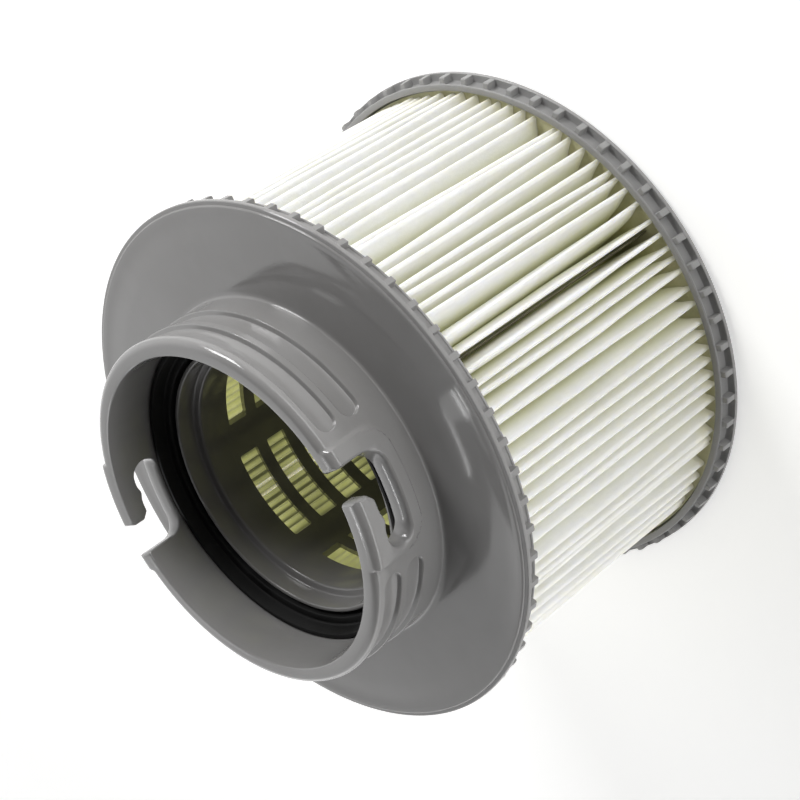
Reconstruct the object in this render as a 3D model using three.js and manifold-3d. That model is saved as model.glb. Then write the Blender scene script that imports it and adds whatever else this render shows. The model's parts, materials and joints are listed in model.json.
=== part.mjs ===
// A spa filter cartridge: two moulded end caps, a perforated core, a pleated paper sleeve
// bedded in adhesive, and a rubber gasket in a short bayonet neck.
// Millimetres, +Z up. The closed cap rests on z = 0 and the neck points up; the axis is Z.
import * as THREE from 'three';
import { mergeVertices } from 'three/addons/utils/BufferGeometryUtils.js';
import Module from 'manifold-3d';

const wasm = await Module();
wasm.setup();

// ---- driving dimensions ----
const CAP_R = 53;              // outer radius of both caps
const BODY_H = 64.5;           // closed cap face to neck cap flange face
const NECK_H = 17.5;           // flange face to neck rim
const PLATE_T = 1.5;           // thickness of both cap plates
const EDGE = 0.6;              // softening of the cap edges
const RIM_H = 4.2;             // height of the ribbed rim, plate included
const SKIRT_R = 51.4;          // outer radius of the rim's skirt
const SKIRT_T = 1.1;           // skirt wall
const RIBS = 60;               // radial ribs around each rim
const RIB_W = 1.3;             // width of a rib
const RIB_DROP = 0.4;          // skirt stands this much past the ribs
const FIT = 0.3;               // clearance between bedded pieces

const NECK_IN = 31.5;          // neck bore radius
const NECK_OUT = 34.8;         // neck wall outer radius
const NECK_ROUND = 1.8;        // rounding of the outer rim
const NECK_FILLET = 1.4;       // fillet from neck wall to flange
const PAD_OUT = 35.8;          // thicker wall around each bayonet slot
const GROOVE_R = 34.0;         // floor of the shallow grooves
const ENTRY_HALF = 5;          // half width of a slot's entry, degrees
const LOCK_END = 24;           // closed end of the slot, degrees before the entry's centre
const SLOT_FLOOR = 7.8;        // heights above the flange face
const SLOT_ROOF = 13.4;
const PAD_FROM = -27;          // pad limits, degrees from the entry's centre
const PAD_TO = 11;
const PAD_FLOOR = 4.8;
const GROOVES = [[5.6, 9.7], [11.3, 15.4]];
const ENTRIES = [90, 270];     // the two slot entries face each other

const CORE_IN = 24.6;          // core bore radius
const CORE_OUT = 26.4;
const MOUTH_OUT = 27.4;        // collar that passes through the flange
const MOUTH_TOP = 4.6;         // collar top above the flange face
const MOUTH_LEDGE = 0.7;       // inner ledge above the flange face
const CORE_FLOOR_T = 1.2;
const WINDOW_ROWS = 7;
const WINDOW_COLUMNS = 6;
const WINDOW_FROM = 21;        // first window, degrees from +X
const WINDOW_SPAN = 44;        // degrees
const WINDOW_H = 4.6;
const WINDOW_PITCH = 7.3;
const WINDOW_TOP = 6.3;        // first row, below the flange face

const MEDIA_OUT = 49.9;        // outer folds
const MEDIA_IN = 27.0;         // inner folds
const PLEATS = 107;
const PAPER_T = 0.6;
const SEAM_GAP = 2.2;          // degrees left for the side seam
const SEAM_ANGLE = -79;        // degrees about Z
const SEAM_IN = 36;            // the seam strip's reach, along a radius
const SEAM_OUT = 47;
const SEAM_T = 0.6;
const BED_T = 1.3;             // adhesive depth

const GASKET_IN = 27.8;
const GASKET_BASE = 5.0;       // seal face above the flange face
const GASKET_TOP = 7.5;        // outer lip above the flange face
const GASKET_LIP = 1.3;

const VENT_SENSE = [-1, 1, 1, -1, 1, 1];  // which way round each house-shaped vent points
const VENT_R = 9.2;
const VENT_LONG = 5.3;
const VENT_WIDE = 3.2;

const ROUND = 60;              // facets of every turned piece
const SLIVER = 0.01;           // slimmer faces than this are merged into their neighbours
const RAD = Math.PI / 180;
const TOP = BODY_H;            // flange face of the neck cap

// ---- solids ----
function solid(geometry) {
  const bare = geometry.index ? geometry.toNonIndexed() : geometry.clone();
  bare.deleteAttribute('normal');
  bare.deleteAttribute('uv');
  const merged = mergeVertices(bare, 1e-4);
  return new wasm.Manifold(new wasm.Mesh({
    numProp: 3,
    vertProperties: new Float32Array(merged.attributes.position.array),
    triVerts: new Uint32Array(merged.index.array),
  }));
}

function geometryOf(manifold) {
  const mesh = manifold.simplify(SLIVER).getMesh();
  const geometry = new THREE.BufferGeometry();
  geometry.setAttribute('position', new THREE.BufferAttribute(new Float32Array(mesh.vertProperties), 3));
  geometry.setIndex(new THREE.BufferAttribute(new Uint32Array(mesh.triVerts), 1));
  geometry.computeVertexNormals();
  return geometry;
}

// A closed or on-axis profile of [radius, height] pairs, counter-clockwise, turned about Z.
function turned(profile, facets = ROUND) {
  const points = profile.map(([r, z]) => new THREE.Vector2(r, z));
  const closed = profile[0][0] === 0 ? points : [...points, points[0]];
  const geometry = new THREE.LatheGeometry(closed, facets);
  geometry.rotateX(Math.PI / 2);
  const whole = solid(geometry);
  return whole.volume() < 0 ? solid(flipped(geometry)) : whole;
}

function flipped(geometry) {
  const bare = geometry.toNonIndexed();
  const p = bare.attributes.position;
  for (let i = 0; i < p.count; i += 3) {
    const keep = [p.getX(i), p.getY(i), p.getZ(i)];
    p.setXYZ(i, p.getX(i + 1), p.getY(i + 1), p.getZ(i + 1));
    p.setXYZ(i + 1, ...keep);
  }
  return bare;
}

function raised(shape, bottom, top, facets = 1) {
  const geometry = new THREE.ExtrudeGeometry(shape, {
    depth: top - bottom, bevelEnabled: false, curveSegments: facets,
  });
  geometry.translate(0, 0, bottom);
  return solid(geometry);
}

function polar(radius, degrees) {
  return new THREE.Vector2(radius * Math.cos(degrees * RAD), radius * Math.sin(degrees * RAD));
}

// An annular sector between two angles, with a vertex every `step` degrees.
function sector(inner, outer, from, to, bottom, top, step = 360 / ROUND) {
  const count = Math.max(1, Math.round((to - from) / step));
  const angles = Array.from({ length: count + 1 }, (_, i) => from + (to - from) * i / count);
  const outline = [
    ...angles.map((a) => polar(outer, a)),
    ...angles.reverse().map((a) => polar(inner, a)),
  ];
  return raised(new THREE.Shape(outline), bottom, top);
}

// An outline drawn as [degrees, height], pushed radially through the neck wall.
function throughWall(outline, inner, outer) {
  const middle = (inner + outer) / 2;
  const flat = new THREE.Shape(outline.map(([a, z]) => new THREE.Vector2(a * RAD * middle, z)));
  const geometry = new THREE.ExtrudeGeometry(flat, { depth: outer - inner, bevelEnabled: false });
  const p = geometry.attributes.position;
  for (let i = 0; i < p.count; i += 1) {
    const at = polar(inner + p.getZ(i), p.getX(i) / middle / RAD);
    p.setXYZ(i, at.x, at.y, p.getY(i));
  }
  return solid(geometry);
}

function arc(centreAngle, centreZ, radius, from, to, count) {
  const perDegree = NECK_IN * RAD;
  return Array.from({ length: count + 1 }, (_, i) => {
    const turn = (from + (to - from) * i / count) * RAD;
    return [centreAngle + radius * Math.cos(turn) / perDegree, centreZ + radius * Math.sin(turn)];
  });
}

// ---- the ribbed rim shared by both caps; the media side is up ----
function ribbedRim() {
  const half = RIB_W / 2 / CAP_R / RAD;
  const outline = [];
  for (let k = 0; k < RIBS; k += 1) {
    const a = k * 360 / RIBS;
    outline.push(polar(SKIRT_R, a - half), polar(CAP_R - 0.15, a - half));
    outline.push(polar(CAP_R - 0.15, a + half), polar(SKIRT_R, a + half));
  }
  const bore = Array.from({ length: ROUND }, (_, k) => polar(SKIRT_R - SKIRT_T, (k + 0.5) * 360 / ROUND));
  const ring = new THREE.Shape(outline);
  ring.holes.push(new THREE.Path(bore));
  const skirt = turned([
    [SKIRT_R - SKIRT_T, PLATE_T - 0.3], [SKIRT_R, PLATE_T - 0.3],
    [SKIRT_R, RIM_H], [SKIRT_R - SKIRT_T, RIM_H],
  ]);
  return raised(ring, PLATE_T - 0.3, RIM_H - RIB_DROP).add(skirt);
}

function closedEndCap() {
  const plate = turned([
    [0, 0], [CAP_R - EDGE, 0], [CAP_R, EDGE], [CAP_R, PLATE_T], [0, PLATE_T],
  ]);
  let cap = plate.add(ribbedRim());
  const half = VENT_WIDE / 2;
  const eaves = VENT_LONG * 0.22;
  const house = new THREE.Shape([
    [-half, -VENT_LONG / 2], [half, -VENT_LONG / 2], [half, eaves], [0, VENT_LONG / 2], [-half, eaves],
  ].map(([x, y]) => new THREE.Vector2(x, y)));
  VENT_SENSE.forEach((sense, k) => {
    const vent = raised(house, -1, PLATE_T + 1).rotate([0, 0, sense > 0 ? 0 : 180]);
    const turn = (k + 0.5) * 360 / VENT_SENSE.length;
    cap = cap.subtract(vent.translate([VENT_R, 0, 0]).rotate([0, 0, turn]));
  });
  return cap;
}

// ---- the neck: wall, pads, grooves and two bayonet slots, heights from the flange face ----
function bayonetSlot(entry) {
  const roundR = (SLOT_ROOF - SLOT_FLOOR) / 2;
  const perDegree = NECK_IN * RAD;
  const closedCentre = entry - LOCK_END + roundR / perDegree;
  const right = entry + ENTRY_HALF;
  const tip = entry - ENTRY_HALF;
  const corner = 3.6;
  const chamfer = 1.6;
  return [
    ...arc(closedCentre, SLOT_FLOOR + roundR, roundR, 90, 270, 6),
    ...arc(right - corner / perDegree, SLOT_FLOOR + corner, corner, -90, 0, 3),
    [right, NECK_H + 2],
    [tip, NECK_H + 2],
    [tip, SLOT_ROOF + chamfer],
    [tip - chamfer / perDegree, SLOT_ROOF],
  ];
}

function padBlock(entry) {
  const block = turned([
    [NECK_IN + 1, PAD_FLOOR], [PAD_OUT - 1, PAD_FLOOR], [PAD_OUT, PAD_FLOOR + 1],
    [PAD_OUT, NECK_H - 0.9], [PAD_OUT - 0.9, NECK_H], [NECK_IN + 1, NECK_H],
  ]);
  return block.intersect(sector(NECK_IN - 5, PAD_OUT + 5, entry + PAD_FROM, entry + PAD_TO, 0, NECK_H + 5));
}

function grooveCut(from, to, [bottom, top]) {
  return sector(GROOVE_R, NECK_OUT + 3, from, to, bottom, top);
}

function neckEndCap() {
  const fillet = NECK_FILLET;
  const wall = turned([
    [MOUTH_OUT + FIT, -PLATE_T], [CAP_R, -PLATE_T], [CAP_R, -EDGE], [CAP_R - EDGE, 0],
    [NECK_OUT + fillet, 0], [NECK_OUT + fillet * 0.29, fillet * 0.29], [NECK_OUT, fillet],
    [NECK_OUT, NECK_H - NECK_ROUND], [NECK_OUT - NECK_ROUND * 0.29, NECK_H - NECK_ROUND * 0.29],
    [NECK_OUT - NECK_ROUND, NECK_H], [NECK_IN, NECK_H], [NECK_IN, 0], [MOUTH_OUT + FIT, 0],
  ]);
  const rim = ribbedRim().rotate([180, 0, 0]);
  let cap = wall.add(rim);
  for (const entry of ENTRIES) {
    cap = cap.add(padBlock(entry));
    cap = cap.subtract(throughWall(bayonetSlot(entry), NECK_IN - 3, PAD_OUT + 3));
    for (const heights of GROOVES) {
      cap = cap.subtract(grooveCut(entry + PAD_TO + 4, entry + 180 + PAD_FROM - 5, heights));
    }
  }
  return cap.translate([0, 0, TOP]);
}

// ---- the core: closed floor, six columns of windows, and a mouth collar ----
function perforatedCore() {
  const floor = PLATE_T + FIT;
  const facets = 36;
  let core = turned([
    [0, floor], [CORE_OUT, floor], [CORE_OUT, TOP - PLATE_T - 2.5], [MOUTH_OUT, TOP - PLATE_T - 0.5],
    [MOUTH_OUT, TOP + MOUTH_TOP], [MOUTH_OUT - 1, TOP + MOUTH_TOP], [MOUTH_OUT - 1, TOP + MOUTH_LEDGE],
    [CORE_IN, TOP + MOUTH_LEDGE], [CORE_IN, floor + CORE_FLOOR_T], [0, floor + CORE_FLOOR_T],
  ], facets);
  for (let row = 0; row < WINDOW_ROWS; row += 1) {
    const top = TOP - WINDOW_TOP - row * WINDOW_PITCH;
    for (let column = 0; column < WINDOW_COLUMNS; column += 1) {
      const from = WINDOW_FROM + column * 360 / WINDOW_COLUMNS;
      const to = from + WINDOW_SPAN;
      core = core.subtract(sector(CORE_IN - 3, CORE_OUT + 3, from, to, top - WINDOW_H, top, WINDOW_SPAN));
    }
  }
  return core;
}

// ---- the paper: one strip folded into pleats, open at the side seam ----
function pleatedStrip() {
  const pitch = (360 - SEAM_GAP) / PLEATS;
  const crestHalf = PAPER_T * 0.9 / MEDIA_OUT / RAD;
  const valleyHalf = PAPER_T * 0.6 / MEDIA_IN / RAD;
  const start = SEAM_ANGLE + SEAM_GAP / 2;
  const outside = [polar(MEDIA_IN, start - valleyHalf)];
  const inside = [polar(MEDIA_IN, start + valleyHalf)];
  for (let k = 0; k < PLEATS; k += 1) {
    const crest = start + (k + 0.5) * pitch;
    const valley = crest + pitch / 2;
    outside.push(polar(MEDIA_OUT, crest - crestHalf), polar(MEDIA_OUT, crest + crestHalf));
    inside.push(polar(MEDIA_OUT - PAPER_T, crest));
    if (k < PLEATS - 1) {
      outside.push(polar(MEDIA_IN + PAPER_T, valley));
      inside.push(polar(MEDIA_IN, valley - valleyHalf), polar(MEDIA_IN, valley + valleyHalf));
    } else {
      outside.push(polar(MEDIA_IN, valley + valleyHalf));
      inside.push(polar(MEDIA_IN, valley - valleyHalf));
    }
  }
  const shape = new THREE.Shape([...outside, ...inside.reverse()]);
  const bed = PLATE_T + FIT + BED_T + FIT;
  return raised(shape, bed, TOP - bed);
}

function seamStrip() {
  const bed = PLATE_T + FIT + BED_T + FIT;
  const box = new THREE.BoxGeometry(SEAM_OUT - SEAM_IN, SEAM_T, TOP - 2 * bed);
  box.translate((SEAM_IN + SEAM_OUT) / 2, 0, TOP / 2);
  box.rotateZ(SEAM_ANGLE * RAD);
  return solid(box);
}

function adhesiveBed() {
  const inner = MOUTH_OUT + FIT;
  const outer = SKIRT_R - SKIRT_T - FIT;
  const bottom = PLATE_T + FIT;
  return turned([[inner, bottom], [outer, bottom], [outer, bottom + BED_T], [inner, bottom + BED_T]]);
}

// ---- the gasket: an L section with its lip against the neck bore ----
function neckGasket() {
  const outer = NECK_IN - FIT;
  return turned([
    [GASKET_IN, FIT], [outer, FIT], [outer, GASKET_TOP], [outer - GASKET_LIP * 0.6, GASKET_TOP],
    [outer - GASKET_LIP, GASKET_BASE], [GASKET_IN + 0.3, GASKET_BASE], [GASKET_IN, GASKET_BASE - 0.3],
  ]).translate([0, 0, TOP]);
}

// ---- the assembly ----
function piece(name, manifold, colour, roughness) {
  const material = new THREE.MeshStandardMaterial({ color: colour, roughness, metalness: 0 });
  const mesh = new THREE.Mesh(geometryOf(manifold), material);
  mesh.name = name;
  return mesh;
}

const cartridge = new THREE.Group();
cartridge.add(
  piece('closed_end_cap', closedEndCap(), 0xa3a39e, 0.4),
  piece('neck_end_cap', neckEndCap(), 0x9a9997, 0.35),
  piece('perforated_core', perforatedCore(), 0x6f6e6a, 0.45),
  piece('pleated_media', pleatedStrip(), 0xe9e7dc, 0.9),
  piece('media_seam_strip', seamStrip(), 0xdedccb, 0.6),
  piece('closed_end_adhesive', adhesiveBed(), 0xd8d4bf, 0.5),
  piece('neck_end_adhesive', adhesiveBed().rotate([180, 0, 0]).translate([0, 0, TOP]), 0xd8d4bf, 0.5),
  piece('neck_gasket', neckGasket(), 0x17171a, 0.6),
);

export default cartridge;
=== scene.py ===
import json
import math

import bmesh
import bpy
import numpy as np
from mathutils import Matrix, Vector


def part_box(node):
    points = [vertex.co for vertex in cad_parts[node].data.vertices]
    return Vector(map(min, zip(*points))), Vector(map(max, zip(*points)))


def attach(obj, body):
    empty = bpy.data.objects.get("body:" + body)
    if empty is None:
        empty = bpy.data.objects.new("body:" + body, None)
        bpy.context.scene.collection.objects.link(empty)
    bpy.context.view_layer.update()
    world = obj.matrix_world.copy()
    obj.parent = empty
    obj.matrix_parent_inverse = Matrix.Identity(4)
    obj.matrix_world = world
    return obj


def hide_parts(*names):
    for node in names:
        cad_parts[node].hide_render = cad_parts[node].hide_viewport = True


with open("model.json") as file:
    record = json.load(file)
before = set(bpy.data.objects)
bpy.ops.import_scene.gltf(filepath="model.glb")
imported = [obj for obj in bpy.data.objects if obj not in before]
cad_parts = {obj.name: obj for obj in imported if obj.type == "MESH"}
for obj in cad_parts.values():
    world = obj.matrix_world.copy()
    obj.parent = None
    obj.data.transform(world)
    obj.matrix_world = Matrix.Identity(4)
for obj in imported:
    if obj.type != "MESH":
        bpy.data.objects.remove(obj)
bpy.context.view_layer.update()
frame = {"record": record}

# Shapes are worked out in millimetres about the part's axis and turned into metres by raw_object().
# Heights called "above the flange" are measured from the neck cap's flange face.
MM = 0.001
SEED = 11


def box_mm(node):
    low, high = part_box(node)
    return low / MM, high / MM


def mount_height(name):
    mounts = {mount["name"]: mount for mount in frame["record"]["mounts"]}
    return mounts[name]["pos_m"][2] / MM


# ---- sizes, in mm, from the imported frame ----
CAP_R = box_mm("closed_end_cap")[1].x
RIM_H = box_mm("closed_end_cap")[1].z
TOP = mount_height("flange_face")
NECK_H = mount_height("neck_rim") - TOP
SEAL_H = mount_height("gasket_seal_face") - TOP
GASKET_OUT = box_mm("neck_gasket")[1].x
GASKET_TOP = box_mm("neck_gasket")[1].z - TOP
MEDIA_LOW = box_mm("pleated_media")[0].z
MEDIA_HIGH = box_mm("pleated_media")[1].z
MEDIA_OUT = box_mm("pleated_media")[1].x
COLLAR_R = box_mm("perforated_core")[1].x
COLLAR_TOP = box_mm("perforated_core")[1].z - TOP
CORE_LOW = box_mm("perforated_core")[0].z
BED_LOW = box_mm("closed_end_adhesive")[0].z
BED_HIGH = box_mm("closed_end_adhesive")[1].z
BED_OUT = box_mm("closed_end_adhesive")[1].x

# ---- sizes, in mm and degrees, that the frame's boxes don't give ----
PLATE_T = 1.5
SKIRT_R = 51.4
SKIRT_IN = 50.3
RIBS = 60
RIB_HALF = 0.71                # half width of a rib, degrees
NECK_IN = 31.5
NECK_OUT = 34.8
PAD_OUT = 35.8
WALL_MID = 33.6                # radius at which slot and groove outlines are drawn
GROOVE_R = 33.85               # the grooves' floor
GROOVES = ((5.6, 9.7), (11.3, 15.4))    # from and to, above the flange
ENTRIES = (90.0, 270.0)        # the slots' entries, degrees from +X
SLOT_FLOOR = 7.8               # slot and pad heights are above the flange
SLOT_ROOF = 13.4
SLOT_HALF = 5.0                # half width of the entry, degrees
SLOT_END = 24.0                # closed end, degrees before the entry's centre
PAD_FROM = -27.0               # degrees from the entry's centre
PAD_TO = 11.0
PAD_FLOOR = 4.8
GATE_R = 2.2
VENT_R = 9.2
VENT_LONG = 5.3
VENT_WIDE = 3.2
VENT_SENSE = (-1, 1, 1, -1, 1, 1)
CORE_IN = 24.6
CORE_OUT = 26.4
LEDGE = 0.7                    # the collar's inner ledge, above the flange
WINDOW_ROWS = 7
WINDOW_COLUMNS = 6
WINDOW_FROM = 21.0             # first window, degrees from +X
WINDOW_SPAN = 44.0
WINDOW_H = 4.6
WINDOW_DRAFT = 0.75            # how much each side of a window opens out through the wall
WINDOW_PITCH = 7.3
WINDOW_TOP = 6.3               # first row, below the flange
PLEATS = 107
MEDIA_IN = 27.2
PAPER_T = 0.42
PAPER_CLEAR = 0.03             # least room on each side of the paper
SEAM_ANGLE = -79.0
SEAM_GAP = 1.5                 # degrees left free for the seam strip
SEAM_PULL = 1.3                # how far the folds beside the seam lean towards it, degrees
SEAM_CLEAR = 0.45              # least angle between that gap and the fold beside it
FOLD_HALF = 0.3                # half width of an outer fold
FOLD_ROOM = 1.3                # about the least angle between neighbouring outer folds
SEAM_IN = 36.0                 # the seam strip's inner and outer radius
SEAM_OUT = 47.0
GASKET_IN = 27.8

DEGREES_PER_MM = 180 / math.pi / WALL_MID

# ---- how uneven the paper is; a pitch is the mean step from one fold to the next ----
STEP_SPREAD = 0.34             # spread of the steps, in pitches
STEP_LIMITS = (0.45, 1.7)      # least and greatest step, in pitches
MOST_DRIFT = 0.62              # furthest that a fold stands from its even place, in pitches
SWAY = 0.36                    # size of a fold's sway along its height, degrees
CLOSED_POCKETS = 0.4           # share of the height over which pockets open near the closed cap
NECK_POCKETS = 0.25            # and near the neck cap

# ---- light: world strengths by direction, lamp powers in watts ----
LOW_LIGHT_LEFT = 2.2           # near the horizon, on the -X side
LOW_LIGHT_RIGHT = 1.05         # and on the +X side
LOW_LIGHT_FRONT = 4.2          # and on the -Y side
NEAR_LIGHT = 0.05              # higher up, on the camera's side
FAR_LIGHT = 1.5                # higher up, on the far side
CEILING_LIGHT = 0.1
NEAR_TO_FAR = (0.1, 0.6)       # direction Y over which the near light gives way to the far light
LEFT_TO_RIGHT = (-0.4, 0.6)    # direction X over which the left light gives way to the right light
FRONT_TO_SIDES = (-0.9, -0.2)  # direction Y over which the front light gives way to those two
LOW_TO_HIGH = (0.08, 0.25)     # direction Z over which the low lights give way to those above
HIGH_TO_CEILING = (0.62, 0.9)  # and over which those give way to the ceiling
KEY_POWER = 2.1
KEY_PLACE = (0.53, 0.0, 0.27)
KEY_SIZE = (0.2, 0.2)
KEY_AIM = (0, 0, 0.05)
BACK_POWER = 0.035             # a small lamp whose reflection lies on the flange
BACK_PLACE = (-0.128, 0.498, 0.492)
BACK_SIZE = (0.05, 0.018)
BACK_AIM = (0, -0.04, 0.0645)
FLOOR_HALF = 6.0
FLOOR_FADE = (0.3, 1.1)        # distance from the axis over which the floor fades out, in metres
FLOOR_GLOW = 0.5

# ---- the paper's own weak light, which stands for light that passes through it ----
PAPER_GLOW = 0.12
PAPER_GLOW_IN = 36.0           # radius at which it is weakest, in mm
INNER_GLOW_OUT = 32.0          # radii between which the inner folds' yellower light grows, in mm
INNER_GLOW_IN = 27.5


# ---------------------------------------------------------------- mesh tools
def smoothstep(low, high, x):
    t = np.clip((x - low) / (high - low), 0, 1)
    return t * t * (3 - 2 * t)


def arc(centre_r, centre_z, radius, start, end, steps=5):
    """Points on an arc in a profile, from one angle to another, in degrees."""
    turns = np.radians(np.linspace(start, end, steps + 1))
    return [(centre_r + radius * math.cos(t), centre_z + radius * math.sin(t)) for t in turns]


def even_angles(count):
    return np.arange(count) * 360 / count


def raw_object(name, points, faces):
    mesh = bpy.data.meshes.new(name)
    mesh.from_pydata((np.asarray(points, float) * MM).tolist(), [], faces)
    obj = bpy.data.objects.new(name, mesh)
    bpy.context.scene.collection.objects.link(obj)
    return obj


def weld(obj, distance=1e-7):
    """Merges points that coincide, drops what that leaves empty and turns the faces outwards."""
    work = bmesh.new()
    work.from_mesh(obj.data)
    bmesh.ops.remove_doubles(work, verts=work.verts, dist=distance)
    bmesh.ops.dissolve_degenerate(work, edges=work.edges, dist=distance)
    bmesh.ops.recalc_face_normals(work, faces=work.faces)
    work.to_mesh(obj.data)
    work.free()
    return obj


def revolved(name, profile, angles, shape=None):
    """A counter-clockwise profile of (radius, height) turned about Z.
    shape(radius, height, degrees, row) may move the points before they are placed."""
    rows = np.repeat(np.arange(len(profile))[:, None], len(angles), axis=1)
    radius = np.array([p[0] for p in profile])[:, None] + 0.0 * angles[None, :]
    height = np.array([p[1] for p in profile])[:, None] + 0.0 * angles[None, :]
    degrees = 0.0 * radius + angles[None, :]
    if shape:
        radius, height = shape(radius, height, degrees, rows)
    turn = np.radians(degrees)
    points = np.stack([radius * np.cos(turn), radius * np.sin(turn), height], axis=-1)
    count = len(profile)
    index = np.arange(count * len(angles)).reshape(count, -1)
    after = np.roll(index, -1, axis=1)
    on_axis = profile[0][0] == 0
    faces = []
    for i in range(count - 1 if on_axis else count):
        j = (i + 1) % count
        faces.append(np.stack([index[i], after[i], after[j], index[j]], axis=-1))
    return weld(raw_object(name, points.reshape(-1, 3), np.concatenate(faces).tolist()))


def bake(obj):
    """Replaces the object's mesh by what its modifiers make of it."""
    bpy.context.view_layer.update()
    graph = bpy.context.evaluated_depsgraph_get()
    made = bpy.data.meshes.new_from_object(obj.evaluated_get(graph))
    spent = obj.data
    obj.modifiers.clear()
    obj.data = made
    bpy.data.meshes.remove(spent)


def combine(target, tool, operation):
    modifier = target.modifiers.new("combine", "BOOLEAN")
    modifier.solver = "MANIFOLD"
    modifier.operation = operation
    modifier.object = tool
    bake(target)
    spent = tool.data
    bpy.data.objects.remove(tool)
    bpy.data.meshes.remove(spent)


def joined(name, objects):
    """One object that holds the meshes of several, which don't touch each other."""
    work = bmesh.new()
    for obj in objects:
        work.from_mesh(obj.data)
        spent = obj.data
        bpy.data.objects.remove(obj)
        bpy.data.meshes.remove(spent)
    mesh = bpy.data.meshes.new(name)
    work.to_mesh(mesh)
    work.free()
    obj = bpy.data.objects.new(name, mesh)
    bpy.context.scene.collection.objects.link(obj)
    return obj


def finish_piece(obj, name, node, material, sharp=32):
    """Names and shades a piece, gives it its material, attaches it to the root body and hides the CAD node
    that it stands for.
    """
    obj.name = name
    obj.data.name = name
    obj.data.shade_smooth()
    obj.data.set_sharp_from_angle(angle=math.radians(sharp))
    obj.data.materials.clear()
    obj.data.materials.append(material)
    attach(obj, "root")
    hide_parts(node)


# ---------------------------------------------------------------- the ribbed rim
def rim_angles():
    """Columns that crowd round the sides of every rib."""
    half = (0.0, 0.4, RIB_HALF - 0.1, RIB_HALF - 0.03, RIB_HALF + 0.03, RIB_HALF + 0.1, 1.15, 1.9)
    pitch = 360 / RIBS
    one = sorted([-a for a in half[1:]] + list(half)) + [pitch / 2]
    return np.array([k * pitch + a for k in range(RIBS) for a in one])


# The rim's outside in the middle of a rib and in the middle of a pocket: radius past the skirt's
# outer face, and height from the cap's outer face towards the paper.
RIB_SIDE = (
    (1.60, 1.30), (1.58, 1.42), (1.52, 1.50), (1.45, 1.60), (1.44, 2.20), (1.43, 3.00), (1.42, 3.45),
    (1.30, 3.66), (1.10, 3.72), (0.70, 3.74), (0.32, 3.76),
)
POCKET_SIDE = (
    (1.60, 1.30), (1.58, 1.42), (1.50, 1.49), (0.95, 1.50), (0.40, 1.52), (0.12, 1.62), (0.02, 1.90),
    (0.00, 2.60), (0.00, 3.40), (0.06, 3.62), (0.20, 3.74),
)


def rim_profile():
    """The rim from the plate's edge round the skirt's end, ending on the plate's inner face."""
    skirt_end = arc(SKIRT_R + 0.05, RIM_H - 0.25, 0.22, 0, 90, 3)
    skirt_end += arc(SKIRT_IN + 0.2, RIM_H - 0.22, 0.2, 90, 180, 3)
    inside = [(SKIRT_IN, RIM_H - 1.0), (SKIRT_IN, PLATE_T + 0.5)]
    inside += arc(SKIRT_IN - 0.5, PLATE_T + 0.5, 0.5, 0, -90, 3)
    return [(SKIRT_R + r, z) for r, z in RIB_SIDE], skirt_end + inside


def rim_shape(first_row):
    """Sinks the pockets between the ribs, in the rows that rim_profile() starts with."""
    pocket = np.array(POCKET_SIDE)

    def shape(radius, height, degrees, row):
        pitch = 360 / RIBS
        from_rib = np.abs((degrees + pitch / 2) % pitch - pitch / 2)
        sunk = smoothstep(RIB_HALF - 0.12, RIB_HALF + 0.12, from_rib)
        step = np.clip(row - first_row, 0, len(pocket) - 1)
        in_rim = (row >= first_row) & (row < first_row + len(pocket))
        radius = np.where(in_rim, radius + sunk * (SKIRT_R + pocket[step, 0] - radius), radius)
        height = np.where(in_rim, height + sunk * (pocket[step, 1] - height), height)
        return radius, height

    return shape


def cap_plate(name, face):
    """A plate with its ribbed rim, outer face down.
    face is the outer face's profile, from the middle outwards."""
    sides, rest = rim_profile()
    inner = [(face[0][0], PLATE_T)]
    if face[0][0] > 0:
        inner = [(face[0][0] + 0.3, PLATE_T), (face[0][0], PLATE_T - 0.3)]
    profile = face + sides + rest + inner
    return revolved(name, profile, rim_angles(), rim_shape(len(face)))


def edge_steps():
    """The plate's edge: a small round, a fine ledge, and a second round that meets the ribs."""
    return (
        arc(CAP_R - 1.15, 0.38, 0.32, -90, -10, 3)
        + [(CAP_R - 0.76, 0.46), (CAP_R - 0.5, 0.5)]
        + arc(CAP_R - 0.3, 0.78, 0.3, -90, 0, 3)
    )


# ---------------------------------------------------------------- closed end cap
def vent_cutter(turn, sense):
    half = VENT_WIDE / 2
    eaves = VENT_LONG * 0.22
    end = VENT_LONG / 2
    soft = 0.25
    outline = [
        (-half + soft, -end), (half - soft, -end), (half, -end + soft), (half, eaves),
        (soft, end - soft * 0.6), (-soft, end - soft * 0.6), (-half, eaves), (-half, -end + soft),
    ]
    levels = ((-1.0, 0.22), (0.0, 0.2), (0.08, 0.08), (0.25, 0.0), (PLATE_T + 1, -0.08))
    points = []
    for height, grow in levels:
        for x, y in outline:
            points.append((x * (1 + grow / half), sense * y * (1 + grow * 2 / VENT_LONG), height))
    count = len(outline)
    faces = [list(range(count)), list(range((len(levels) - 1) * count, len(levels) * count))]
    for level in range(len(levels) - 1):
        for k in range(count):
            a, b = level * count + k, level * count + (k + 1) % count
            faces.append([a, b, b + count, a + count])
    cutter = weld(raw_object("vent", points, faces))
    spin = Matrix.Rotation(math.radians(turn), 4, "Z") @ Matrix.Translation((VENT_R * MM, 0, 0))
    cutter.data.transform(spin)
    return cutter


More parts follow.
